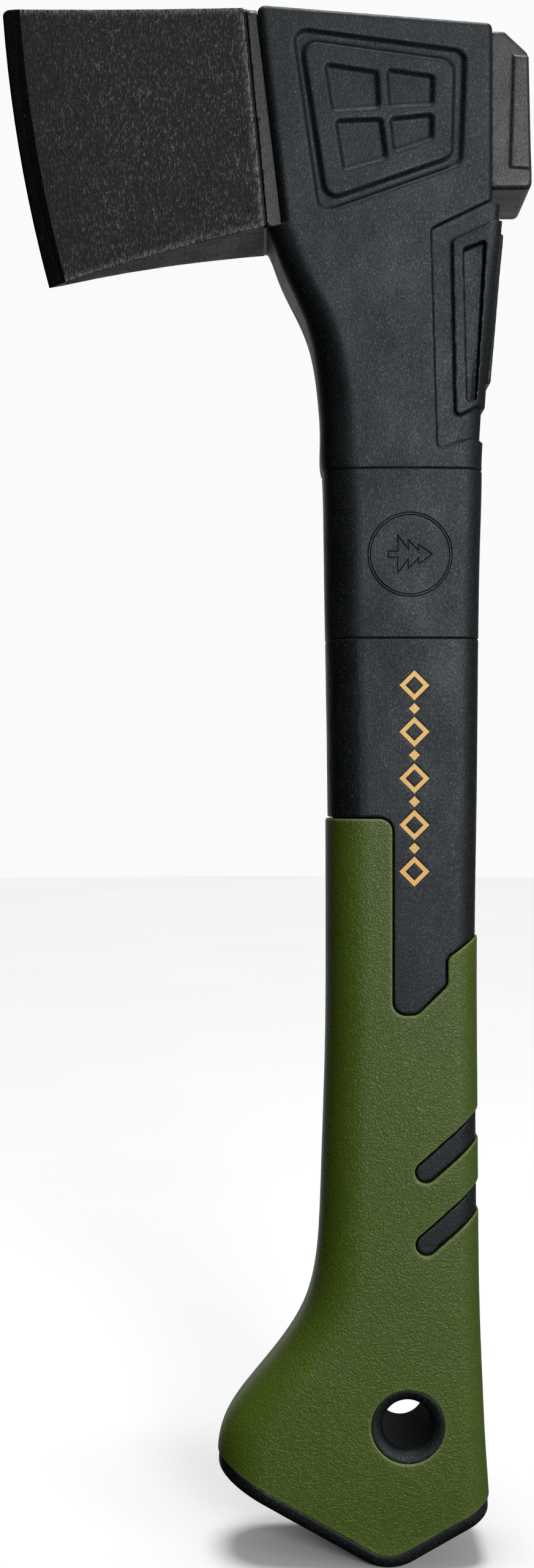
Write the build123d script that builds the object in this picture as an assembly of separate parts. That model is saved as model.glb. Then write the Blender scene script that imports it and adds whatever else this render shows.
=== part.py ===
"""Camp hatchet: a forged head moulded into a black nylon housing on a hollow, soft-gripped handle.

Millimetres. +Z runs up the handle to the head, +X points back to the hammer poll and -X to the
cutting edge. The tool is symmetric about Y = 0. The origin is the centre of the lanyard hole.
"""

import os
from collections import namedtuple
from math import cos, radians, sqrt, tan

from build123d import *

REACH = 30.0  # half length of a prism that passes right through the tool
FLOOR = -80.0  # below everything
TALL = 400.0  # above everything
WIDE = 80.0  # outside everything, fore and aft
OVERLAP = 0.2  # how far joined shapes reach into each other
CLEAR = 1.5  # how far a cutter stands outside the surface it cuts
SKIM = 0.1  # the same for a tapered cutter
LIFT = 0.02  # keeps the rim of a groove's cutter off the surface
LEAST_RADIUS = 0.2  # of a section's corners
DRAFT = 45  # slope of the relief's walls, degrees

# Stations up the tool. front and rear are where the outline cuts Y = 0, half is the half
# thickness, crown is how far each side falls away towards its corners.
Station = namedtuple("Station", "z front rear half crown front_radius rear_radius")

BUTT_STATIONS = [
    Station(-46.0, -41.0, 19.6, 13.4, 0.9, 11.5, 6.5),
    Station(-30.0, -42.6, 19.5, 13.4, 0.9, 11.5, 6.5),
    Station(-19.0, -43.6, 19.1, 13.4, 0.9, 11.5, 6.3),
    Station(-10.0, -43.9, 18.5, 13.4, 0.9, 11.5, 6.2),
    Station(-2.0, -41.9, 18.0, 13.3, 0.9, 11.4, 6.0),
    Station(6.8, -35.8, 17.6, 13.2, 0.9, 11.2, 5.8),
    Station(15.6, -28.7, 17.2, 13.0, 0.9, 10.9, 5.6),
    Station(24.3, -23.4, 16.9, 12.8, 0.8, 10.6, 5.5),
    Station(33.0, -20.8, 16.7, 12.6, 0.8, 10.2, 5.5),
]
GRIP_STATIONS = [
    Station(43.0, -19.7, 16.6, 12.4, 0.8, 10.0, 5.5),
    Station(58.0, -19.1, 16.5, 12.3, 0.8, 9.8, 5.5),
    Station(87.0, -18.2, 16.3, 12.1, 0.8, 9.6, 5.5),
    Station(116.5, -18.05, 16.3, 12.0, 0.8, 9.4, 5.5),
    Station(143.0, -18.1, 16.7, 12.0, 0.8, 9.2, 5.5),
    Station(182.7, -18.65, 17.1, 12.0, 0.8, 9.0, 5.5),
    Station(205.0, -19.0, 17.5, 12.0, 0.8, 9.0, 5.5),
    Station(222.0, -19.4, 17.9, 12.0, 0.8, 9.0, 5.5),
]
THROAT_STATIONS = [
    GRIP_STATIONS[-1],
    Station(231.0, -19.9, 18.2, 12.15, 0.7, 8.6, 5.2),
    Station(240.0, -20.3, 18.7, 12.5, 0.6, 8.2, 4.8),
    Station(249.0, -21.4, 19.4, 12.95, 0.5, 7.6, 4.3),
    Station(257.0, -23.5, 20.1, 13.4, 0.4, 7.0, 3.9),
    Station(265.7, -27.5, 20.8, 13.8, 0.3, 6.4, 3.5),
    Station(272.0, -30.2, 21.4, 14.1, 0.15, 6.1, 3.2),
    Station(278.2, -32.8, 21.9, 14.25, 0.05, 6.0, 3.0),
]
CHEEK = 14.3  # half thickness of the housing at the head
LEDGE_Z = THROAT_STATIONS[-1].z  # the forging's shoulder rests on the housing here

# Handle
GRIP_PROUD = 0.5  # the soft grip stands this far above the bare handle
GRIP_SINK = 1.5  # and is moulded this deep into it
MOULD_GAP = 0.3  # shadow groove where the soft grip ends
WALL = 4.0  # wall of the hollow handle
HOLLOW_TOP = 168.0
COLLAR_SEAM = GRIP_STATIONS[-3]  # between handle and collar
THROAT_SEAM = GRIP_STATIONS[-1]  # between collar and housing
COLLAR_Z = COLLAR_SEAM.z
THROAT_Z = THROAT_SEAM.z
SEAM = 0.25  # half width and depth of the groove at a ring seam

# Stem of the handle that runs through the collar into the housing
STEM_FRONT = -11.0
STEM_REAR = 9.6
STEM_HALF = 7.4
STEM_RADIUS = 3.5
STEM_TOP = 262.0

# Butt: two slopes that meet in a rounded nose, and the cap's rim above them
NOSE = Vector(-4.3, -34.9)
NOSE_SLOPE = 28.7
NOSE_RADIUS = 12.0
RIM = 3.5
CAP_PROUD = 0.1
CAP_PLUG = 8.0
CAP_ROUND = 2.6
CAP_SAMPLES = (0.1, 0.5, 0.9)  # where along an edge its place is read
CAP_STEEPEST = 0.8  # rise of the rounded edges' direction, at most

# Edge of the soft grip, from the front seam down round the bare tongue and up to the rear
TONGUE_TOP = 140.6
TONGUE_FRONT = -3.5
TONGUE_BOTTOM = 94.9
TONGUE_FLAT_END = 2.2
TONGUE_REAR = 9.4
TONGUE_REAR_LOW = 101.8
TONGUE_REAR_HIGH = 108.2
TONGUE_RISE = 36.0
TONGUE_RADII = (3.0, 3.2, 3.2, 2.4, 2.4)

# Slanted windows in the soft grip
STRIPE_STARTS = ((4.3, 58.7), (4.4, 41.9))
STRIPE_SLOPE = 41.0
STRIPE_WIDTH = 5.2
STRIPE_LENGTH = 30.0

# Lanyard hole
EYELET_BORE = 5.7
EYELET_TUBE = 7.2
EYELET_LIP = 8.5
EYELET_FACE = 13.45
EYELET_ROUND = 2.7
EYELET_SEAT = 11.2

# Badge on the collar: two engraved rings round a fir tree
BADGE_X = 0.6
BADGE_Z = 202.0
BADGE_RINGS = (9.9, 9.35)
BADGE_LINE = 0.28
BADGE_DEPTH = 0.4
TREE_HALF_WIDTHS = (2.6, 3.7, 4.8)
TREE_TIER = 3.6
TREE_OVERLAP = 1.2
TREE_TRUNK = (1.7, 2.4)

# Row of printed diamonds, large open ones between small solid ones
MARK_X = 1.6
MARK_TOP = 171.6
MARK_PITCH = 5.4
MARK_COUNT = 9
MARK_SIZES = (7.0, 2.6)
MARK_LINE = 1.0
MARK_PROUD = 0.06
MARK_SINK = 0.3

# Forging
TOE = Vector(-95.9, 333.5)
HEEL = Vector(-84.7, 267.1)
EDGE_RADIUS = 345.0
EDGE_LAND = 0.1
BEVEL_SLOPE = 0.37  # half thickness gained per millimetre behind the edge
TOE_RADIUS = 1.4
STEEL_HALF = 11.5
BLADE_TOP = 338.0
BLADE_BOTTOM = 260.0
BLADE_TIP_HALF = 0.85
EDGE_STOCK = 4.0  # length of the tip before the edge's arc is cut
BLADE_HOLLOW = 0.5
BEARD_MIDDLE = (-58.0, 273.7)
TOP_SLOPE = 4.5
TOP_POINT = Vector(-34.2, 328.75)
GROOVE_TOP = Vector(-38.2, 328.5)
SHOULDER_SLANT = 5.6
GROOVE_WIDTH = 0.8
GROOVE_DEPTH = 0.9
SHOULDER_CHAMFER = 1.2
FACE_FOOT = -29.0
FACE_SLANT = 6.8
WAIST_HALF = 6.5
WAIST_OUTLINE = ((-36, 285), (21, 290), (21, 320), (-36, 322))
LOCK_HOLES = ((-17, 303), (5, 305))
LOCK_RADIUS = 6.0
POLL_FRONT = 19.5
POLL_OUTLINE = (
    (POLL_FRONT - 2, 287.0),
    (29.0, 287.0),
    (29.0, 291.0),
    (28.1, 318.6),
    (22.6, 323.7),
    (POLL_FRONT - 2, 323.9),
)
POLL_RADII = (0, 1.6, 3.0, 1.6, 1.2, 0)
POLL_EDGE = 1.1
STRIKER_OUTLINE = ((23.4, 291.4), (28.9, 291.1), (28.3, 317.8), (24.2, 318.4))
STRIKER_PROUD = 0.5

# Housing
FOOT_STEP = 0.05  # the block's foot stands this far behind the throat's top
HOUSING_REAR = POLL_FRONT
REAR_LEAN = 0.4
REAR_STEP_Z = 283.2
FACE_ROUND = 2.0
TOP_ROUND = 1.3
REAR_ROUND = 1.4
RELIEF = 0.9
CHEEK_OUTER = ((-27.3, 323.8), (13.7, 318.3), (12.7, 291.5), (-20.9, 279.6))
CHEEK_INNER = ((-24.2, 320.0), (10.2, 315.3), (9.7, 293.8), (-18.6, 284.0))
CHEEK_PANES = (
    ((-19.9, 315.5), (-6.7, 313.5), (-6.2, 304.4), (-17.9, 303.7)),
    ((-5.4, 314.2), (6.3, 312.5), (6.1, 305.1), (-4.8, 304.6)),
    ((-17.3, 302.3), (-5.8, 302.7), (-4.5, 292.9), (-15.3, 289.8)),
    ((-4.7, 302.7), (6.1, 303.8), (6.0, 297.4), (-3.7, 294.0)),
)
OUTER_RADIUS = 3.2
INNER_RADIUS = 2.6
PANE_RADIUS = 1.3
HAUNCH_OUTER = ((5.2, 276.9), (17.5, 282.8), (40, 293), (40, 228.8), (14.3, 228.8), (6.9, 226.4))
HAUNCH_INNER = ((10.2, 274.1), (18.4, 277.9), (40, 287), (40, 237), (16.0, 236.4), (11.2, 233.6))
HAUNCH_RADII = (1.2, 0, 0, 0, 0, 1.2)
HAUNCH_DEPTH = 0.8
WINDOW = ((12.7, 272.2), (18.0, 274.4), (16.1, 237.9), (13.8, 237.4))
WINDOW_RADIUS = 0.6
WINDOW_DEPTH = 1.9
SPINE = ((18.6, 277.2), (40, 278.2), (40, 242.4), (16.9, 242.4))
SPINE_RADII = (1.0, 0, 0, 1.0)
SPINE_PROUD = 0.9
SPINE_HALF = 8.5
LIP_REACH = 1.7  # how far a lip of the housing reaches over the poll
LIP_HALF = 9.0
LIP_RISE = 0.45
LIP_DEPTH = 3.0
LIP_ROOT = 2.0


def section(station, grow=0.0):
    """The outline of the handle or housing at one station, as a horizontal face."""
    front = station.front - grow
    rear = station.rear + grow
    half = station.half + grow
    side = half - station.crown
    middle = (front + rear) / 2
    with BuildSketch(Plane.XY.offset(station.z)) as face:
        with BuildLine():
            ThreePointArc((front, -side), (middle, -half), (rear, -side))
            Line((rear, -side), (rear, side))
            ThreePointArc((rear, side), (middle, half), (front, side))
            Line((front, side), (front, -side))
        make_face()
        fillet(face.vertices().sort_by(Axis.X)[:2], max(station.front_radius + grow, LEAST_RADIUS))
        fillet(face.vertices().sort_by(Axis.X)[-2:], max(station.rear_radius + grow, LEAST_RADIUS))
    return face.sketch.face()


def loft_through(stations, grow=0.0):
    return loft([section(station, grow) for station in stations])


def handle_body(grow=0.0):
    return loft_through(BUTT_STATIONS + GRIP_STATIONS, grow)


def face_x(z):
    """Where the housing's front face stands against the forging's shoulder."""
    return FACE_FOOT - (z - LEDGE_Z) * tan(radians(FACE_SLANT))


def block_section(z, rear, rear_radius, grow):
    """The flat-sided outline of the block at one height."""
    front = face_x(z) - grow
    width = rear + grow - front
    with BuildSketch(Plane.XY.offset(z)) as face:
        with Locations((front + width / 2, 0)):
            Rectangle(width, 2 * (CHEEK + grow))
        fillet(face.vertices().sort_by(Axis.X)[:2], max(FACE_ROUND + grow, LEAST_RADIUS))
        fillet(face.vertices().sort_by(Axis.X)[-2:], max(rear_radius + grow, LEAST_RADIUS))
    return face.sketch.face()


def housing_body(grow=0.0):
    """The throat, flaring up to the straight-sided block that holds the forging."""
    rear = THROAT_STATIONS[-1].rear + FOOT_STEP
    foot = block_section(LEDGE_Z, rear, THROAT_STATIONS[-1].rear_radius, grow)
    step = block_section(REAR_STEP_Z, rear + REAR_LEAN, THROAT_STATIONS[-1].rear_radius, grow)
    seat = block_section(REAR_STEP_Z, HOUSING_REAR, REAR_ROUND, grow)
    crest = block_section(BLADE_TOP, HOUSING_REAR, REAR_ROUND, grow)
    body = loft_through(THROAT_STATIONS, grow)
    return body + loft([foot, step], ruled=True) + loft([seat, crest], ruled=True)


def through(outline, depth=REACH):
    """A prism through the tool, from an outline drawn in X and Z."""
    return extrude(Plane.XZ * outline, depth, both=True)


def rounded(points, radius):
    return make_face(FilletPolyline(*points, radius=radius, close=True))


def slab(low, high):
    """Everything between two heights."""
    return Pos(0, 0, (low + high) / 2) * Box(2 * WIDE, 2 * REACH, high - low)


def seam_groove(station):
    """A V-shaped groove round the tool, centred on the seam at one station."""
    steps = ((-SEAM, LIFT), (0, -SEAM), (SEAM, LIFT))
    waisted = [section(station._replace(z=station.z + rise), grow) for rise, grow in steps]
    return slab(station.z - SEAM, station.z + SEAM) - loft(waisted, ruled=True)


def below_butt(rise):
    """Everything below the butt's two slopes, raised square to themselves by rise."""
    lift = rise / cos(radians(NOSE_SLOPE))
    nose = NOSE + Vector(0, lift)
    drop = tan(radians(NOSE_SLOPE))
    left = (-WIDE, nose.Y + (nose.X + WIDE) * drop)
    right = (WIDE, nose.Y + (WIDE - nose.X) * drop)
    points = (left, nose, right, (WIDE, FLOOR), (-WIDE, FLOOR))
    return through(rounded(points, (0, NOSE_RADIUS - rise, 0, 0, 0)))


def grip_region():
    """Side view of the part of the handle that the soft grip covers."""
    rear_top = TONGUE_REAR_HIGH + (WIDE - TONGUE_REAR) * tan(radians(TONGUE_RISE))
    points = (
        (TONGUE_FRONT, TONGUE_TOP),
        (TONGUE_FRONT, TONGUE_BOTTOM),
        (TONGUE_FLAT_END, TONGUE_BOTTOM),
        (TONGUE_REAR, TONGUE_REAR_LOW),
        (TONGUE_REAR, TONGUE_REAR_HIGH),
        (WIDE, rear_top),
        (WIDE, FLOOR),
        (-WIDE, FLOOR),
        (-WIDE, TONGUE_TOP),
    )
    return rounded(points, TONGUE_RADII + (0, 0, 0, 0))


def stripes(shrink=0.0):
    """The slanted windows, rounded at their lower ends and open to the rear."""
    width = STRIPE_WIDTH - 2 * shrink
    band = Circle(width / 2) + Pos(STRIPE_LENGTH / 2, 0) * Rectangle(STRIPE_LENGTH, width)
    return [through(Pos(*start) * Rot(0, 0, STRIPE_SLOPE) * band) for start in STRIPE_STARTS]


def grip_shell():
    return handle_body(GRIP_PROUD) - handle_body(-GRIP_SINK) - below_butt(RIM)


def grip_overmould(shell):
    grip = shell & through(grip_region())
    for window in stripes():
        grip -= window
    return grip - eyelet_space()


def eyelet_space():
    """The lined hole: a tube between two flanges that sit in the soft grip."""
    across = Plane.XZ * Circle(EYELET_TUBE)
    flange = extrude(Plane.XZ.offset(EYELET_SEAT) * Circle(EYELET_LIP), REACH)
    return extrude(across, REACH, both=True) + flange + mirror(flange, about=Plane.XZ)


def lanyard_eyelet():
    straight = EYELET_FACE - EYELET_ROUND
    bend = EYELET_ROUND * (1 - sqrt(0.5))
    with BuildSketch(Plane.XY) as profile:
        with BuildLine():
            Line((EYELET_BORE, -straight), (EYELET_BORE, straight))
            ThreePointArc(
                (EYELET_BORE, straight),
                (EYELET_BORE + bend, EYELET_FACE - bend),
                (EYELET_BORE + EYELET_ROUND, EYELET_FACE),
            )
            Polyline(
                (EYELET_BORE + EYELET_ROUND, EYELET_FACE),
                (EYELET_LIP, EYELET_FACE),
                (EYELET_LIP, EYELET_SEAT),
                (EYELET_TUBE, EYELET_SEAT),
                (EYELET_TUBE, -EYELET_SEAT),
                (EYELET_LIP, -EYELET_SEAT),
                (EYELET_LIP, -EYELET_FACE),
                (EYELET_BORE + EYELET_ROUND, -EYELET_FACE),
            )
            ThreePointArc(
                (EYELET_BORE + EYELET_ROUND, -EYELET_FACE),
                (EYELET_BORE + bend, bend - EYELET_FACE),
                (EYELET_BORE, -straight),
            )
        make_face()
    return revolve(profile.sketch, Axis.Y)


def stem():
    width = STEM_REAR - STEM_FRONT
    outline = Pos((STEM_FRONT + STEM_REAR) / 2, 0) * RectangleRounded(
        width, 2 * STEM_HALF, STEM_RADIUS
    )
    return extrude(Plane.XY.offset(COLLAR_Z) * outline, STEM_TOP - COLLAR_Z)


def diamond(size):
    half = size / 2
    return make_face(Polyline((-half, 0), (0, half), (half, 0), (0, -half), close=True))


def mark_prisms():
    prisms = []
    for index in range(MARK_COUNT):
        shape = diamond(MARK_SIZES[index % 2])
        if index % 2 == 0:
            shape -= diamond(MARK_SIZES[0] - 2 * MARK_LINE * sqrt(2))
        place = Pos(MARK_X, MARK_TOP - index * MARK_PITCH)
        prisms.append(through(place * shape))
    return prisms


def side_marks():
    skin = handle_body(MARK_PROUD) - handle_body(-MARK_SINK)
    marks = Part()
    for prism in mark_prisms():
        marks += skin & prism
    return marks


def handle_core(shell, marks):
    recess = shell & through(offset(grip_region(), MOULD_GAP))
    for pad in stripes(MOULD_GAP):
        recess -= pad
    core = handle_body() & slab(FLOOR, COLLAR_Z)
    core -= seam_groove(COLLAR_SEAM)
    core -= recess
    core -= below_butt(RIM)
    core -= handle_body(-WALL) & slab(FLOOR, HOLLOW_TOP)
    core -= eyelet_space()
    return core - marks + stem()


def butt_cap():
    rim = handle_body(CAP_PROUD) & below_butt(RIM)
    rim -= below_butt(0)
    bottom = [edge for edge in rim.edges() if on_lower_rim(edge)]
    rim = fillet(bottom, CAP_ROUND)
    plug = handle_body(-WALL) & below_butt(RIM + CAP_PLUG)
    return rim + (plug - below_butt(RIM))


def on_lower_rim(edge):
    """True for an edge that lies on the butt's outer slopes all the way."""
    lowest = below_butt(RIM / 2)
    low = all(lowest.is_inside(edge @ t) for t in CAP_SAMPLES)
    return low and abs((edge % 0.5).Z) < CAP_STEEPEST


def badge_cut():
    """The badge's lines, as prisms."""
    rings = Sketch()
    for radius in BADGE_RINGS:
        rings += Circle(radius) - Circle(radius - BADGE_LINE)
    lines = Pos(BADGE_X, BADGE_Z) * (rings + Rot(0, 0, -90) * tree())
    return through(lines)


def tree():
    """A fir in outline, standing on the sketch's origin line."""
    shape = Sketch()
    step = TREE_TIER - TREE_OVERLAP
    top = step * len(TREE_HALF_WIDTHS) / 2 + TREE_TIER / 2
    for tier, half in enumerate(TREE_HALF_WIDTHS):
        apex = top - tier * step
        foot = apex - TREE_TIER
        shape += make_face(Polyline((-half, foot), (0, apex), (half, foot), close=True))
    width, height = TREE_TRUNK
    lowest = top - (len(TREE_HALF_WIDTHS) - 1) * step - TREE_TIER
    shape += Pos(0, lowest - height / 2 + OVERLAP) * Rectangle(width, height)
    return shape - offset(shape, -BADGE_LINE, kind=Kind.INTERSECTION)


def badge_sleeve():
    sleeve = handle_body() & slab(COLLAR_Z, THROAT_Z)
    sleeve = sleeve - seam_groove(COLLAR_SEAM) - seam_groove(THROAT_SEAM)
    skin = handle_body(CLEAR) - handle_body(-BADGE_DEPTH)
    return sleeve - stem() - (skin & badge_cut())


def edge_centre():
    """Centre of the cutting edge's arc, far behind the tool."""
    chord = HEEL - TOE
    towards_rear = Vector(-chord.Y, chord.X).normalized()
    reach = sqrt(EDGE_RADIUS**2 - (chord.length / 2) ** 2)
    return (TOE + HEEL) * 0.5 + towards_rear * reach


def blade_section(z):
    """Horizontal cut through blade and shoulder: hollow cheeks behind a thin tip."""
    centre = edge_centre()
    tip = centre.X - sqrt(EDGE_RADIUS**2 - (z - centre.Y) ** 2)
    shoulder = shoulder_x(z)
    middle = ((tip + shoulder) / 2, (BLADE_TIP_HALF + STEEL_HALF) / 2 - BLADE_HOLLOW)
    with BuildSketch(Plane.XY.offset(z)) as face:
        with BuildLine():
            ThreePointArc((tip, BLADE_TIP_HALF), middle, (shoulder, STEEL_HALF))
            Polyline(
                (shoulder, STEEL_HALF),
                (WAIST_OUTLINE[1][0], STEEL_HALF),
                (WAIST_OUTLINE[1][0], -STEEL_HALF),
                (shoulder, -STEEL_HALF),
            )
            ThreePointArc(
                (shoulder, -STEEL_HALF), (middle[0], -middle[1]), (tip, -BLADE_TIP_HALF)
            )
            Polyline(
                (tip, -BLADE_TIP_HALF),
                (tip - EDGE_STOCK, -BLADE_TIP_HALF),
                (tip - EDGE_STOCK, BLADE_TIP_HALF),
                (tip, BLADE_TIP_HALF),
            )
        make_face()
    return face.sketch.face()


def shoulder_x(z):
    return GROOVE_TOP.X + (GROOVE_TOP.Y - z) * tan(radians(SHOULDER_SLANT))


def top_z(x):
    return TOP_POINT.Y - (x - TOP_POINT.X) * tan(radians(TOP_SLOPE))


def blade_outline():
    """Side view of blade and shoulder, with the edge's arc and the beard's arc."""
    centre = edge_centre()
    land = (EDGE_RADIUS - EDGE_LAND) / EDGE_RADIUS
    toe = centre + (TOE - centre) * land
    heel = centre + (HEEL - centre) * land
    middle = centre + ((TOE + HEEL) * 0.5 - centre).normalized() * (EDGE_RADIUS - EDGE_LAND)
    under = (shoulder_x(LEDGE_Z), LEDGE_Z)
    high = face_x(TOP_POINT.Y)
    with BuildSketch() as side:
        with BuildLine():
            ThreePointArc(toe, middle, heel)
            ThreePointArc(heel, BEARD_MIDDLE, under)
            Polyline(under, (FACE_FOOT, LEDGE_Z), (high, top_z(high)), toe)
        make_face()
        fillet(side.vertices().sort_by(Axis.X)[0], TOE_RADIUS)
    return side.sketch


def edge_lens():
    """A flat double cone about the edge's centre: its faces are the two bevels."""
    centre = edge_centre()
    half = EDGE_RADIUS * BEVEL_SLOPE
    profile = make_face(Polyline((0, -half), (EDGE_RADIUS, 0), (0, half), close=True))
    return Pos(centre.X, 0, centre.Y) * revolve(profile, Axis.Y)


def blade():
    wedge = loft([blade_section(BLADE_BOTTOM), blade_section(BLADE_TOP)], ruled=True)
    body = wedge & through(blade_outline()) & edge_lens()
    for side in (-1, 1):
        body -= shoulder_groove(side)
        body -= shoulder_bevel(side)
    return body


def shoulder_groove(side):
    low = shoulder_x(BLADE_BOTTOM)
    high = shoulder_x(BLADE_TOP)
    outline = make_face(
        Polyline(
            (low, BLADE_BOTTOM),
            (low + GROOVE_WIDTH, BLADE_BOTTOM),
            (high + GROOVE_WIDTH, BLADE_TOP),
            (high, BLADE_TOP),
            close=True,
        )
    )
    plane = Plane.XZ.offset(-side * (STEEL_HALF - GROOVE_DEPTH))
    return extrude(plane * outline, -side * REACH)


def shoulder_bevel(side):
    """Breaks the top edge of the shoulder band."""
    x = GROOVE_TOP.X + GROOVE_WIDTH
    z = top_z(x)
    corner = Pos(x, side * STEEL_HALF, z) * Rot(45, 0, 0)
    size = SHOULDER_CHAMFER * sqrt(2)
    return corner * Pos(REACH / 2, 0, 0) * Box(REACH, size, size)


def waist():
    body = through(make_face(Polyline(*WAIST_OUTLINE, close=True)), WAIST_HALF)
    for place in LOCK_HOLES:
        body -= through(Pos(*place) * Circle(LOCK_RADIUS))
    return body


def poll():
    body = through(rounded(POLL_OUTLINE, POLL_RADII), STEEL_HALF)
    sides = body.faces().sort_by(Axis.Y)
    rims = sides[0].edges() + sides[-1].edges()
    front = POLL_OUTLINE[0][0]
    body = fillet([edge for edge in rims if (edge @ 0.5).X > front + OVERLAP], POLL_EDGE)
    striker = make_face(Polyline(*STRIKER_OUTLINE, close=True))
    seat = Plane.XZ.offset(STEEL_HALF - OVERLAP)
    pad = extrude(seat * striker, STRIKER_PROUD + OVERLAP, taper=DRAFT)
    body += pad + mirror(pad, about=Plane.XZ)
    return body & Pos(POLL_FRONT + WIDE, 0, 0) * Box(2 * WIDE, 2 * REACH, 2 * TALL)


def axe_head():
    return blade() + waist() + poll()


def housing_block():
    """The housing's outside before its relief, with its sloping top."""
    above = ((-WIDE, top_z(-WIDE)), (WIDE, top_z(WIDE)), (WIDE, TALL), (-WIDE, TALL))
    body = housing_body() - through(make_face(Polyline(*above, close=True)))
    return fillet(body.faces().sort_by(Axis.Z)[-1].edges(), TOP_ROUND)


def cheek_relief(side):
    """A sunken channel round a raised island with four sunken panes, on one cheek."""
    depth = RELIEF + SKIM
    plane = Plane.XZ.offset(CHEEK + SKIM)
    channel = extrude(plane * rounded(CHEEK_OUTER, OUTER_RADIUS), -depth, taper=DRAFT)
    island = extrude(
        Plane.XZ.offset(CHEEK - RELIEF) * offset(rounded(CHEEK_INNER, INNER_RADIUS), RELIEF),
        depth + SKIM,
        taper=DRAFT,
    )
    cut = channel - island
    for points in CHEEK_PANES:
        cut += extrude(plane * rounded(points, PANE_RADIUS), -depth, taper=DRAFT)
    return cut if side < 0 else mirror(cut, about=Plane.XZ)


def haunch_relief():
    """The sunken band and the windows at the rear of the throat, on both sides at once."""
    skin = housing_body(CLEAR) - housing_body(-HAUNCH_DEPTH)
    band = rounded(HAUNCH_OUTER, HAUNCH_RADII) - rounded(HAUNCH_INNER, HAUNCH_RADII)
    pit = housing_body(CLEAR) - housing_body(-WINDOW_DEPTH)
    return (skin & through(band)) + (pit & through(rounded(WINDOW, WINDOW_RADIUS)))


def spine():
    """The proud rib down the rear of the throat."""
    body = loft_through(THROAT_STATIONS, SPINE_PROUD) & through(rounded(SPINE, SPINE_RADII))
    return body & Box(2 * WIDE, 2 * SPINE_HALF, 2 * TALL)


def poll_lip():
    top = POLL_OUTLINE[-1][1] + LIP_RISE
    middle = POLL_FRONT + (LIP_REACH - LIP_ROOT) / 2
    lip = Box(LIP_REACH + LIP_ROOT, 2 * LIP_HALF, LIP_DEPTH)
    return Pos(middle, 0, top - LIP_DEPTH / 2) * lip


def head_housing(forging):
    body = housing_block() + spine() + poll_lip() - haunch_relief()
    for side in (-1, 1):
        body -= cheek_relief(side)
    return body - stem() - seam_groove(THROAT_SEAM) - forging


def save(part, name):
    export_step(part, f"parts/{name}.step")
    solids = part.solids()
    print(f"{name}: {len(solids)} solids, {part.volume / 1000:.2f} cm3")


def main():
    os.makedirs("parts", exist_ok=True)
    shell = grip_shell()
    marks = side_marks()
    forging = axe_head()
    save(forging, "axe_head")
    save(head_housing(forging), "head_housing")
    save(badge_sleeve(), "badge_sleeve")
    save(handle_core(shell, marks), "handle_core")
    save(grip_overmould(shell), "grip_overmould")
    save(lanyard_eyelet(), "lanyard_eyelet")
    save(butt_cap(), "butt_cap")
    save(marks, "side_marks")


main()
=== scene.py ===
"""Camp hatchet: detailed meshes, materials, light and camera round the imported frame.

Lengths are in metres unless a name says otherwise. The frame is the model's own: +Z up the handle,
+X back to the poll, and the side seen in the main view faces -Y.
"""

from math import cos, pi, radians, sin, tan

import bmesh
import bpy
from mathutils import Matrix, Vector, bvhtree, kdtree, noise


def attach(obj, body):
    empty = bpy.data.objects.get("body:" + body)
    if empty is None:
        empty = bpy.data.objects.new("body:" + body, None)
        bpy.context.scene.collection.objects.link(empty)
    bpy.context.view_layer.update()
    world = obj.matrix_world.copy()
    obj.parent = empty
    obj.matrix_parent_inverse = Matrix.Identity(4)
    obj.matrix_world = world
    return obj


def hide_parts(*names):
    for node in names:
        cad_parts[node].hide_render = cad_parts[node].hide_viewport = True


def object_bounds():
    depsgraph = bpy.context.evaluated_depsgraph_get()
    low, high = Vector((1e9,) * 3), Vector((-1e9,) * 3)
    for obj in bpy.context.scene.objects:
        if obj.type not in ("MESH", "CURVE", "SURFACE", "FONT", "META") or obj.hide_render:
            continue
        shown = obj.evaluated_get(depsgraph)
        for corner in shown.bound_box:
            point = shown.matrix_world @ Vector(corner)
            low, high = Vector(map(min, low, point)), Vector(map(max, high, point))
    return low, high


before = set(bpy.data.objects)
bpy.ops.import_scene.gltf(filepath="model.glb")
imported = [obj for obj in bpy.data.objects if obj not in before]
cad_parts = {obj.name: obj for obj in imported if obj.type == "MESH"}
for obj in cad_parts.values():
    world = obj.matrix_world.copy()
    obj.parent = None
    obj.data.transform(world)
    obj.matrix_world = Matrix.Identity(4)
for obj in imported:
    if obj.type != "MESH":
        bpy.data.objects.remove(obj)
cad_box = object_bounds()

MM = 0.001  # one millimetre in metres

# Camera: level, and square to the tool's side
EYE = Vector((-32.6, -413.0, 148.7)) * MM
LENS_MM = 39.7
SENSOR_MM = 36.0

# Moulded pieces: voxel in millimetres, smoothing passes, most triangles
MOULDED = {
    "head_housing": (0.3, 3, 190000),
    "handle_core": (0.34, 2, 180000),
    "grip_overmould": (0.3, 3, 190000),
    "lanyard_eyelet": (0.2, 3, 60000),
    "butt_cap": (0.25, 4, 80000),
}

# Forged head, in millimetres
ARRIS = 0.22  # width of the rounding on its sharp edges
MESH_STEP = 1.3  # longest mesh edge on the visible steel
SCALE_DEPTH = 0.035  # relief left by the forging
THIN_Y = 0.6  # the relief starts at this half thickness
THIN_GROWTH = 1.2  # and grows to its full depth over this much more
ARRIS_ANGLE = 28.0  # degrees between faces from which an edge is rounded
SHADE_ANGLE = 38.0  # degrees from which an edge stays sharp in the shading
FLAT_ANGLE = 0.5  # degrees up to which neighbouring faces are merged before refining
BLADE_REAR = -29.0  # the forging is hidden in the housing between these two
POLL_FRONT = 19.5
SHOULDER_X, SHOULDER_Z = -38.2, 328.5  # a point on the groove between cheek and smooth strip
SHOULDER_SLANT = 5.6  # degrees
GROOVE_WIDTH = 0.9
STEEL_HALF = 12.0  # half thickness of the strip and the poll
BEVEL_LEAN = 0.27  # the ground bevels face this far forward,
BEVEL_REAR = -80.0  # lie before this
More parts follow.
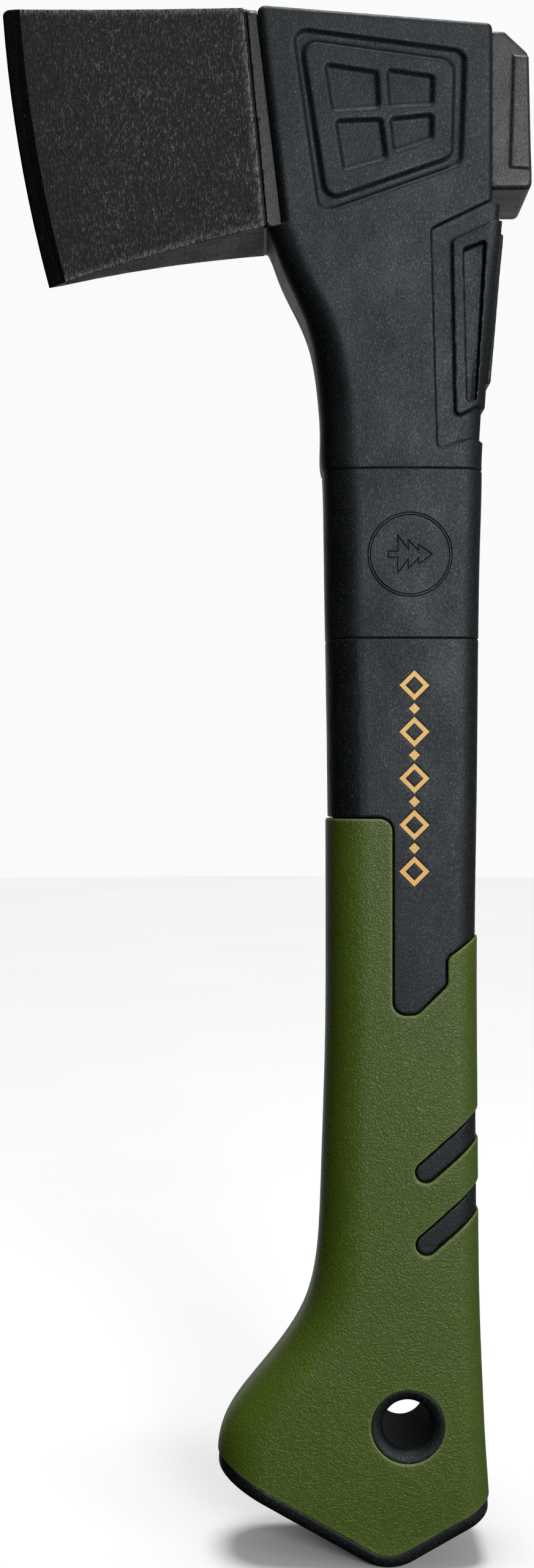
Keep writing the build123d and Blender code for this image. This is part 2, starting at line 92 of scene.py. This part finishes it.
BEVEL_HALF = 1.15  # and are thinner than this, measured from the middle
CUTTING_HALF = 0.3  # the cutting edge itself is thinner than this
GROOVE_ZONE = (-0.6, 1.6)  # edges this far before and behind the groove's line stay crisp
GROOVE_LEAD = 0.1  # the groove's own faces start this far before its line
EDGE_CENTRE = Vector((248.27, 0.0, 357.41))  # centre of the cutting edge's arc
EDGE_RADIUS = 345.0
BAND_WIDTH = 4.4  # the band behind the edge painted near black as the bevel's dark reflection, wider than the bevel's own shape
BAND_LEAN = 0.42  # how far its shading leans forward
EDGE_REACH = 2.0  # how far from an edge its wear and painted highlight can reach
TOE_SHADE = (-96.0, -74.0)  # painted shade: the coat is darker and duller towards the toe, and brightens from the first to the second, along X

# The lanyard hole's liner, in millimetres
HOLE_SHADE = (12.6, 10.5)  # distance from the middle where the painted shade inside the hole starts and is full

# ---------------------------------------------------------------- meshes


def linked(name, mesh):
    obj = bpy.data.objects.new(name, mesh)
    bpy.context.scene.collection.objects.link(obj)
    return obj


def welded(node):
    """A copy of a CAD node's mesh in millimetres, with its split vertices joined again."""
    form = bmesh.new()
    form.from_mesh(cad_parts[node].data)
    bmesh.ops.scale(form, vec=Vector((1, 1, 1)) / MM, verts=form.verts)
    bmesh.ops.remove_doubles(form, verts=form.verts, dist=0.0005)
    for face in form.faces:
        face.smooth = True
        face.material_index = 0
    for edge in form.edges:
        edge.smooth = True
    return form


def mesh_from(form, name):
    mesh = bpy.data.meshes.new(name)
    form.to_mesh(mesh)
    form.free()
    return mesh


def applied(obj):
    """Makes an object's modifiers part of its mesh."""
    graph = bpy.context.evaluated_depsgraph_get()
    mesh = bpy.data.meshes.new_from_object(obj.evaluated_get(graph))
    obj.modifiers.clear()
    obj.data = mesh


def triangle_count(mesh):
    mesh.calc_loop_triangles()
    return len(mesh.loop_triangles)


def edge_points(node, sharpest=30.0, gap=0.3):
    """Points along a node's sharp outward edges, in millimetres."""
    form = welded(node)
    points = []
    for edge in form.edges:
        if len(edge.link_faces) == 2 and edge.calc_face_angle_signed() > radians(sharpest):
            start, end = (v.co for v in edge.verts)
            count = max(int(edge.calc_length() / gap), 1)
            points += [start.lerp(end, (i + 0.5) / count) for i in range(count)]
    form.free()
    return points


def mark_edges(obj, points, name="edge"):
    """Stores 1 at a sharp edge, falling to 0 at EDGE_REACH from it. The mesh is in millimetres."""
    tree = kdtree.KDTree(len(points))
    for index, point in enumerate(points):
        tree.insert(point, index)
    tree.balance()
    near = [max(0.0, 1 - tree.find(v.co)[2] / EDGE_REACH) for v in obj.data.vertices]
    layer = obj.data.attributes.new(name, "FLOAT", "POINT")
    layer.data.foreach_set("value", near)


def finished(obj, node):
    obj.data.transform(Matrix.Scale(MM, 4))
    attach(obj, "root")
    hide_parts(node)
    return obj


def moulded(node, name):
    """A node as it comes from a mould: every edge soft, with no flat facets."""
    voxel, passes, most = MOULDED[node]
    obj = linked(name, mesh_from(welded(node), name))
    skin = obj.modifiers.new("skin", "REMESH")
    skin.mode = "VOXEL"
    skin.voxel_size = voxel
    skin.use_smooth_shade = True
    soften = obj.modifiers.new("soften", "SMOOTH")
    soften.factor = 0.5
    soften.iterations = passes
    applied(obj)
    found = triangle_count(obj.data)
    if found > most:
        thin = obj.modifiers.new("thin", "DECIMATE")
        thin.ratio = most / found
        applied(obj)
    return obj


def refine(form, faces_wanted, longest, rounds=9):
    """Halves the wanted faces' long edges, round by round, until they are short enough."""
    bmesh.ops.triangulate(form, faces=[f for f in form.faces if len(f.verts) > 3])
    for _ in range(rounds):
        faces = [f for f in form.faces if faces_wanted(f)]
        edges = {e for f in faces for e in f.edges if e.calc_length() > longest}
        if not edges:
            break
        bmesh.ops.subdivide_edges(form, edges=list(edges), cuts=1)
        bmesh.ops.triangulate(form, faces=[f for f in form.faces if len(f.verts) > 3])


def shoulder_x(z):
    """The line of the groove that divides the cheeks from the smooth strip."""
    return SHOULDER_X - (z - SHOULDER_Z) * tan(radians(SHOULDER_SLANT))


def stays_crisp(edge):
    """The cutting edge and the groove, which are finer than the rounding."""
    cutting = all(abs(v.co.y) < CUTTING_HALF for v in edge.verts)
    before, behind = GROOVE_ZONE
    return cutting or all(before < v.co.x - shoulder_x(v.co.z) < behind for v in edge.verts)


def rounded_arrises(form, width):
    """Rounds the sharp edges, apart from those that stay crisp."""
    inner = [e for e in form.edges if len(e.link_faces) == 2]
    sharp = [e for e in inner if e.calc_face_angle() > radians(ARRIS_ANGLE)]
    edges = [e for e in sharp if not stays_crisp(e)]
    surface = bvhtree.BVHTree.FromBMesh(form)
    bmesh.ops.bevel(
        form, geom=edges, offset=width, segments=2, profile=0.5, affect="EDGES", clamp_overlap=False
    )
    for vertex in form.verts:  # draws back the spikes where several edges meet
        place, _, _, gap = surface.find_nearest(vertex.co)
        if gap > 1.5 * width:
            vertex.co = place


def in_sight(face):
    """Whether a face of the forging shows outside the housing."""
    x = face.calc_center_bounds().x
    return x < BLADE_REAR or x > POLL_FRONT


def forging_relief(obj):
    """Moves the blade's skin in front of the groove by the fine relief that the hammer and the
    scale leave.
    """
    outward = [vertex.normal.copy() for vertex in obj.data.vertices]
    for vertex, normal in zip(obj.data.vertices, outward):
        place = vertex.co
        if shoulder_x(place.z) - 0.3 < place.x:
            continue
        fade = min(max((abs(place.y) - THIN_Y) / THIN_GROWTH, 0.0), 1.0)
        streaks = noise.noise(Vector((place.x * 1.1, place.y * 0.6, place.z * 0.45)))
        waves = noise.noise(place * 0.22)
        vertex.co = place - normal * fade * SCALE_DEPTH * (1 + streaks + 1.2 * waves)
    obj.data.update()


def steel_finish(face):
    """A face's material: 0 on the scaly cheeks, 1 on bevels and in the groove (near black: painted
    dark reflection on the bevels, painted shade in the groove), 2 where smooth.
    """
    behind = face.center.x - shoulder_x(face.center.z)
    if behind > -GROOVE_LEAD:
        # the groove takes the near black bevel material as painted shade
        return 1 if behind < GROOVE_WIDTH and abs(face.center.y) < STEEL_HALF - 0.1 else 2
    sideways = abs(face.normal.z) < 0.5
    return int(sideways and face.normal.x < -BEVEL_LEAN and face.center.x < BEVEL_REAR)


def forged_head(name):
    """The forging: rounded arrises, ground bevels and the relief that the hammer leaves."""
    form = welded("axe_head")
    behind = {v for v in form.verts if v.co.x > BEVEL_REAR or abs(v.co.y) > BEVEL_HALF}
    seams = [e for e in form.edges if behind.issuperset(e.verts)]
    bmesh.ops.dissolve_limit(form, angle_limit=radians(FLAT_ANGLE), verts=list(behind), edges=seams)
    rounded_arrises(form, ARRIS)
    refine(form, in_sight, MESH_STEP)
    obj = linked(name, mesh_from(form, name))
    forging_relief(obj)
    for face in obj.data.polygons:
        face.material_index = steel_finish(face)
        face.use_smooth = True
    obj.data.set_sharp_from_angle(angle=radians(SHADE_ANGLE))
    return obj


# ---------------------------------------------------------------- materials

NYLON_GLOSS = {"Specular_IOR_Level": 0.42, "Specular_Tint": (0.86, 0.95, 1.0, 1.0)}


class Shader:
    """One material's node tree, with short calls for the nodes used below."""

    def __init__(self, name):
        self.material = bpy.data.materials.new(name)
        self.material.use_nodes = True
        self.tree = self.material.node_tree
        self.surface = self.tree.nodes["Principled BSDF"]

    def add(self, kind, inputs=(), **settings):
        node = self.tree.nodes.new(kind)
        for key, value in settings.items():
            setattr(node, key, value)
        for key, value in dict(inputs).items():
            self.feed(node.inputs[key], value)
        return node

    def feed(self, socket, value):
        if isinstance(value, bpy.types.NodeSocket):
            self.tree.links.new(value, socket)
        else:
            socket.default_value = value

    def places(self, stretch=(1, 1, 1)):
        """Object coordinates, closer together along an axis whose stretch is above 1."""
        where = self.add("ShaderNodeTexCoord").outputs["Object"]
        return self.add("ShaderNodeMapping", {"Vector": where, "Scale": stretch}).outputs["Vector"]

    def noise(self, where, size, detail=3.0, rough=0.6):
        """Noise from 0 to 1 whose lumps are about this many metres across."""
        inputs = {"Vector": where, "Scale": 1 / size, "Detail": detail, "Roughness": rough}
        return self.add("ShaderNodeTexNoise", inputs).outputs["Fac"]

    def math(self, operation, a, b=0.0):
        node = self.add("ShaderNodeMath", operation=operation)
        self.feed(node.inputs[0], a)
        self.feed(node.inputs[1], b)
        return node.outputs[0]

    def between(self, value, low, high, to_low=0.0, to_high=1.0):
        """Value mapped from low..high onto another range, and held there."""
        ends = {"From Min": low, "From Max": high, "To Min": to_low, "To Max": to_high}
        return self.add("ShaderNodeMapRange", {"Value": value, **ends}).outputs["Result"]

    def blend(self, share, first, second):
        node = self.add("ShaderNodeMix", data_type="RGBA")
        self.feed(node.inputs["Factor"], share)
        for socket, colour in ((node.inputs[6], first), (node.inputs[7], second)):
            self.feed(socket, colour if isinstance(colour, bpy.types.NodeSocket) else (*colour, 1))
        return node.outputs[2]

    def stored(self, name):
        return self.add("ShaderNodeAttribute", attribute_name=name).outputs["Fac"]

    def bump(self, height, depth, under=None):
        inputs = {"Height": height, "Distance": depth, "Strength": 1.0}
        if under is not None:
            inputs["Normal"] = under
        return self.add("ShaderNodeBump", inputs).outputs["Normal"]

    def finish(self, colour, roughness, normal, **fixed):
        self.feed(self.surface.inputs["Base Color"], colour)
        self.feed(self.surface.inputs["Roughness"], roughness)
        self.feed(self.surface.inputs["Normal"], normal)
        for key, value in fixed.items():
            self.surface.inputs[key.replace("_", " ")].default_value = value
        return self.material


def nylon_parts(s):
    """Height, colour and roughness of spark-eroded glass-filled nylon: grain and fibre streaks."""
    grain = s.noise(s.places(), 0.32 * MM, detail=3, rough=0.7)
    fibre = s.noise(s.places((1, 1, 0.45)), 0.30 * MM, detail=2)
    cloud = s.noise(s.places((1, 1, 0.6)), 9 * MM, detail=3)
    both = s.math("ADD", s.math("MULTIPLY", grain, 0.6), s.math("MULTIPLY", fibre, 0.4))
    colour = s.blend(s.between(both, 0.55, 0.66), (0.0022, 0.0029, 0.0032), (0.060, 0.071, 0.080))
    rough = s.between(both, 0.38, 0.62, 0.60, 0.36)
    return both, colour, s.math("ADD", rough, s.between(cloud, 0.3, 0.7, 0.08, -0.07))


def black_nylon():
    s = Shader("black_nylon")
    both, colour, rough = nylon_parts(s)
    return s.finish(colour, rough, s.bump(both, 0.11 * MM), **NYLON_GLOSS)


def liner_nylon():
    """The same nylon, near black and dull inside the lanyard hole: painted shade where the hole
    lies in shadow.
    """
    s = Shader("liner_nylon")
    both, colour, rough = nylon_parts(s)
    depth = s.add("ShaderNodeSeparateXYZ")
    s.feed(depth.inputs[0], s.places())
    start, full = HOLE_SHADE
    inside = s.between(s.math("ABSOLUTE", depth.outputs["Y"]), start * MM, full * MM)
    # painted shade: the colour turns near black inside the hole
    colour = s.blend(inside, colour, (0.0006, 0.0006, 0.0006))
    rough = s.math("MAXIMUM", rough, s.math("MULTIPLY", inside, 0.95))
    return s.finish(colour, rough, s.bump(both, 0.14 * MM), **NYLON_GLOSS)


def engraved_nylon():
    """The same nylon on the collar, with painted shade in the engraved lines, taken from ambient
    occlusion.
    """
    s = Shader("engraved_nylon")
    both, colour, rough = nylon_parts(s)
    crevice = s.add(
        "ShaderNodeAmbientOcclusion", {"Distance": 0.45 * MM}, samples=6, only_local=True
    ).outputs["AO"]
    # painted shade: ambient occlusion darkens the colour in the engraved lines and dulls them
    groove_shade = s.between(crevice, 0.85, 0.5)
    colour = s.blend(groove_shade, colour, (0.0004, 0.0004, 0.0004))
    rough = s.math("MAXIMUM", rough, groove_shade)
    return s.finish(colour, rough, s.bump(both, 0.11 * MM), **NYLON_GLOSS)


def band_depth(s):
    """How far in front of the painted dark band's rear border a place is, in metres."""
    flat = s.add("ShaderNodeVectorMath", operation="MULTIPLY")
    s.feed(flat.inputs[0], s.places())
    s.feed(flat.inputs[1], (1, 0, 1))
    away = s.add("ShaderNodeVectorMath", operation="DISTANCE")
    s.feed(away.inputs[0], flat.outputs[0])
    s.feed(away.inputs[1], EDGE_CENTRE * MM)
    return s.math("SUBTRACT", away.outputs["Value"], (EDGE_RADIUS - BAND_WIDTH) * MM)


def coated_steel():
    """Forged steel under a black coating, drawn up and down, lighter along its edges from wear and
    a painted highlight, with painted shade towards the toe and a painted dark reflection behind the
    cutting edge.
    """
    s = Shader("coated_steel")
    streak = s.noise(s.places((1, 1, 0.42)), 0.44 * MM, detail=4, rough=0.7)
    grain = s.noise(s.places(), 0.24 * MM, detail=2)
    cloud = s.noise(s.places((1, 1, 0.7)), 12 * MM, detail=3)
    across = s.add("ShaderNodeSeparateXYZ")
    s.feed(across.inputs[0], s.places())
    # painted shade: the light specks fade towards the toe, standing in for a cheek that turns away
    # from the light
    front, rear = TOE_SHADE
    behind = s.between(across.outputs["X"], front * MM, rear * MM)
    both = s.math("ADD", s.math("MULTIPLY", streak, 0.7), s.math("MULTIPLY", grain, 0.3))
    patch = s.between(cloud, 0.35, 0.65, 0.6, 1.0)
    shown = s.math("MULTIPLY", s.between(behind, 0.0, 1.0, 0.25, 1.0), patch)
    speck = s.math("MULTIPLY", s.between(both, 0.53, 0.64), shown)
    coat = s.blend(speck, (0.003, 0.0034, 0.0032), (0.16, 0.165, 0.165))
    # painted highlight with wear: the coat lightens in specks along the sharp edges, partly rubbed
    # wear, partly the light that the rounded edges catch
    wear_and_highlight = s.math("MULTIPLY", s.math("POWER", s.stored("edge"), 1.6), s.between(both, 0.42, 0.60))
    colour = s.blend(wear_and_highlight, coat, (0.23, 0.235, 0.23))
    rough = s.between(both, 0.38, 0.62, 0.60, 0.34)
    rough = s.math("ADD", rough, s.between(shown, 0.2, 1.0, 0.26, 0.0))
    ground = band_depth(s)
    # painted reflection: near black behind the cutting edge, where the polished bevel reflects a
    # dark surrounding
    dark_reflection_band = s.between(ground, 0.0, 0.15 * MM)
    colour = s.blend(dark_reflection_band, colour, (0.0010, 0.0010, 0.0010))
    rough = s.math("MULTIPLY", rough, s.math("SUBTRACT", 1.0, dark_reflection_band))
    rough = s.math("ADD", rough, s.math("MULTIPLY", dark_reflection_band, 0.42))
    lean = s.bump(s.math("MULTIPLY", s.math("MAXIMUM", ground, 0.0), -BAND_LEAN), 1.0)
    return s.finish(colour, rough, s.bump(both, 0.18 * MM, lean), Specular_IOR_Level=0.45)


def smooth_steel():
    """The strip behind the groove and the poll, machined before the coating."""
    s = Shader("smooth_steel")
    grain = s.noise(s.places((1, 1, 0.6)), 0.34 * MM, detail=3)
    cloud = s.noise(s.places(), 5 * MM, detail=2)
    colour = s.blend(s.between(grain, 0.45, 0.68), (0.012, 0.013, 0.0145), (0.055, 0.058, 0.064))
    rough = s.between(grain, 0.35, 0.65, 0.50, 0.40)
    rough = s.math("ADD", rough, s.between(cloud, 0.3, 0.7, -0.04, 0.05))
    return s.finish(colour, rough, s.bump(grain, 0.035 * MM), Specular_IOR_Level=0.5)


def ground_edge():
    """The bevels, ground across the edge, and the groove: painted near black, as the bevels' dark
    reflection and the groove's shade.
    """
    s = Shader("ground_edge")
    lines = s.noise(s.places((0.06, 1, 1)), 0.30 * MM, detail=3)
    grain = s.noise(s.places(), 0.3 * MM)
    # painted reflection and shade: near black colour with faint grinding lines
    colour = s.blend(s.between(lines, 0.5, 0.75), (0.0015, 0.0015, 0.0015), (0.012, 0.012, 0.012))
    rough = s.between(grain, 0.35, 0.65, 0.36, 0.48)
    return s.finish(colour, rough, s.bump(lines, 0.02 * MM), Specular_IOR_Level=0.25)


def soft_grip():
    """Green elastomer with a leathery grain of short worm-like wrinkles, and a painted highlight
    along its edges.
    """
    s = Shader("soft_grip")
    inputs = {"Vector": s.places(), "Scale": 1 / (1.6 * MM), "Detail": 1.0}
    warp = s.add("ShaderNodeTexNoise", inputs)
    shift = s.add("ShaderNodeVectorMath", operation="SCALE")
    s.feed(shift.inputs[0], warp.outputs["Color"])
    s.feed(shift.inputs["Scale"], 0.9 * MM)
    moved = s.add("ShaderNodeVectorMath", operation="ADD")
    s.feed(moved.inputs[0], s.places())
    s.feed(moved.inputs[1], shift.outputs[0])
    worms = s.noise(moved.outputs[0], 0.80 * MM, detail=1.5, rough=0.5)
    ridge = s.math("ABSOLUTE", s.math("SUBTRACT", worms, 0.5))
    lines = s.between(ridge, 0.0, 0.13)
    fine = s.noise(s.places(), 0.28 * MM, detail=2)
    cloud = s.noise(s.places(), 22 * MM, detail=2)
    base = s.blend(s.between(cloud, 0.3, 0.7), (0.058, 0.101, 0.004), (0.070, 0.118, 0.008))
    colour = s.blend(lines, (0.050, 0.083, 0.004), base)
    # painted highlight: the green lightens along the grip's sharp edges, standing in for light on
    # its rolled edges
    colour = s.blend(s.math("POWER", s.stored("edge"), 5.0), colour, (0.17, 0.22, 0.07))
    height = s.math("ADD", s.math("MULTIPLY", lines, 0.7), s.math("MULTIPLY", fine, 0.4))
    rough = s.between(fine, 0.35, 0.65, 0.54, 0.38)
    return s.finish(colour, rough, s.bump(height, 0.09 * MM), Specular_IOR_Level=0.5)


def gold_print():
    s = Shader("gold_print")
    grain = s.noise(s.places(), 0.3 * MM)
    colour = s.blend(s.between(grain, 0.35, 0.7), (0.78, 0.42, 0.09), (0.95, 0.60, 0.17))
    return s.finish(colour, s.between(grain, 0.3, 0.7, 0.5, 0.35), s.bump(grain, 0.02 * MM))


def pale_floor():
    s = Shader("pale_floor")
    cloud = s.noise(s.places(), 0.35, detail=2)
    colour = s.blend(cloud, (0.80, 0.80, 0.80), (0.86, 0.86, 0.86))
    return s.finish(colour, 0.9, s.bump(cloud, 0.05 * MM))


# ---------------------------------------------------------------- pieces

NYLON = black_nylon()

head = forged_head("hatchet_head")
mark_edges(head, edge_points("axe_head"))
head.data.materials.append(coated_steel())
head.data.materials.append(ground_edge())
head.data.materials.append(smooth_steel())
finished(head, "axe_head")

for node, (name, slot, material) in {
    "head_housing": ("moulded_housing", "black_nylon", NYLON),
    "handle_core": ("moulded_handle", "black_nylon", NYLON),
    "grip_overmould": ("green_grip", "soft_grip", soft_grip()),
    "lanyard_eyelet": ("hole_liner", "black_nylon", liner_nylon()),
    "butt_cap": ("end_cap", "black_nylon", NYLON),
}.items():
    piece = moulded(node, name)
    if slot == "soft_grip":
        mark_edges(piece, edge_points(node))
    piece.data.materials.append(material)
    finished(piece, node)

for node, material in {"badge_sleeve": engraved_nylon(), "side_marks": gold_print()}.items():
    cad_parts[node].material_slots[0].material = material

# ---------------------------------------------------------------- stage

# Each row: axis of the direction, where it starts and ends to brighten, how much it adds
ENVIRONMENT = (
    ("Y", 0.70, 1.0, 0.9),
    ("X", 0.35, 0.95, 0.20),
    ("Z", 0.45, 0.95, 0.40),
    ("Y", -2.0, -1.5, 0.003),
)


def soft_box(name, azimuth, elevation, distance, width, height, radiance, colour=(1, 1, 1)):
    """A rectangular light aimed at the tool's middle. Azimuth 0 is in front, 90 to the right."""
    light = bpy.data.lights.new(name, "AREA")
    light.shape = "RECTANGLE"
    light.size = width
    light.size_y = height
    light.energy = radiance * pi * width * height
    light.color = colour
    obj = linked(name, light)
    a, e = radians(azimuth), radians(elevation)
    away = Vector((sin(a) * cos(e), -cos(a) * cos(e), sin(e)))
    middle = (cad_box[0] + cad_box[1]) / 2
    obj.location = middle + away * distance
    obj.rotation_mode = "QUATERNION"
    obj.rotation_quaternion = away.to_track_quat("Z", "Y")
    obj.visible_camera = False


def surroundings():
    """White behind the tool, dim to the right and above, dark to the left.

    The camera itself sees plain white.
    """
    world = bpy.data.worlds.new("studio")
    bpy.context.scene.world = world
    world.use_nodes = True
    tree = world.node_tree
    tree.nodes.clear()

    def add(kind, **settings):
        node = tree.nodes.new(kind)
        for key, value in settings.items():
            setattr(node, key, value)
        return node

    where = add("ShaderNodeTexCoord")
    split = add("ShaderNodeSeparateXYZ")
    tree.links.new(where.outputs["Generated"], split.inputs[0])
    total = None
    for axis, start, end, strength in ENVIRONMENT:
        part = add("ShaderNodeMapRange", interpolation_type="SMOOTHSTEP")
        tree.links.new(split.outputs[axis], part.inputs["Value"])
        part.inputs["From Min"].default_value = start
        part.inputs["From Max"].default_value = end
        part.inputs["To Max"].default_value = strength
        if total is None:
            total = part.outputs[0]
        else:
            plus = add("ShaderNodeMath", operation="ADD")
            tree.links.new(total, plus.inputs[0])
            tree.links.new(part.outputs[0], plus.inputs[1])
            total = plus.outputs[0]
    lit = add("ShaderNodeBackground")
    tree.links.new(total, lit.inputs["Strength"])
    seen = add("ShaderNodeBackground")
    seen.inputs["Color"].default_value = (1, 1, 1, 1)
    seen.inputs["Strength"].default_value = 0.96
    path = add("ShaderNodeLightPath")
    choose = add("ShaderNodeMixShader")
    tree.links.new(path.outputs["Is Camera Ray"], choose.inputs[0])
    tree.links.new(lit.outputs[0], choose.inputs[1])
    tree.links.new(seen.outputs[0], choose.inputs[2])
    out = add("ShaderNodeOutputWorld")
    tree.links.new(choose.outputs[0], out.inputs["Surface"])


def daylight():
    """A wide light from straight above, for the floor and the tool's upward faces."""
    light = bpy.data.lights.new("daylight", "SUN")
    light.energy = 2.8
    light.angle = radians(24)
    linked("daylight", light)


def floor():
    mesh = bpy.data.meshes.new("floor")
    form = bmesh.new()
    bmesh.ops.create_circle(form, cap_ends=True, segments=96, radius=3.0)
    form.to_mesh(mesh)
    form.free()
    obj = linked("floor", mesh)
    obj.location.z = cad_box[0].z
    obj.data.materials.append(pale_floor())
    obj.visible_glossy = False
    obj.visible_diffuse = False


surroundings()
floor()
daylight()
soft_box("key", 17, 12, 1.3, 0.36, 0.56, 16.5)
soft_box("fill", 48, 14, 1.4, 0.5, 0.9, 2.6)

camera = linked("camera", bpy.data.cameras.new("camera"))
camera.data.sensor_width = SENSOR_MM
camera.data.lens = LENS_MM
camera.data.clip_start = 0.01
camera.data.clip_end = 20
camera.location = EYE
camera.rotation_euler = (pi / 2, 0, 0)
bpy.context.scene.camera = camera
bpy.context.scene.view_settings.view_transform = "Standard"
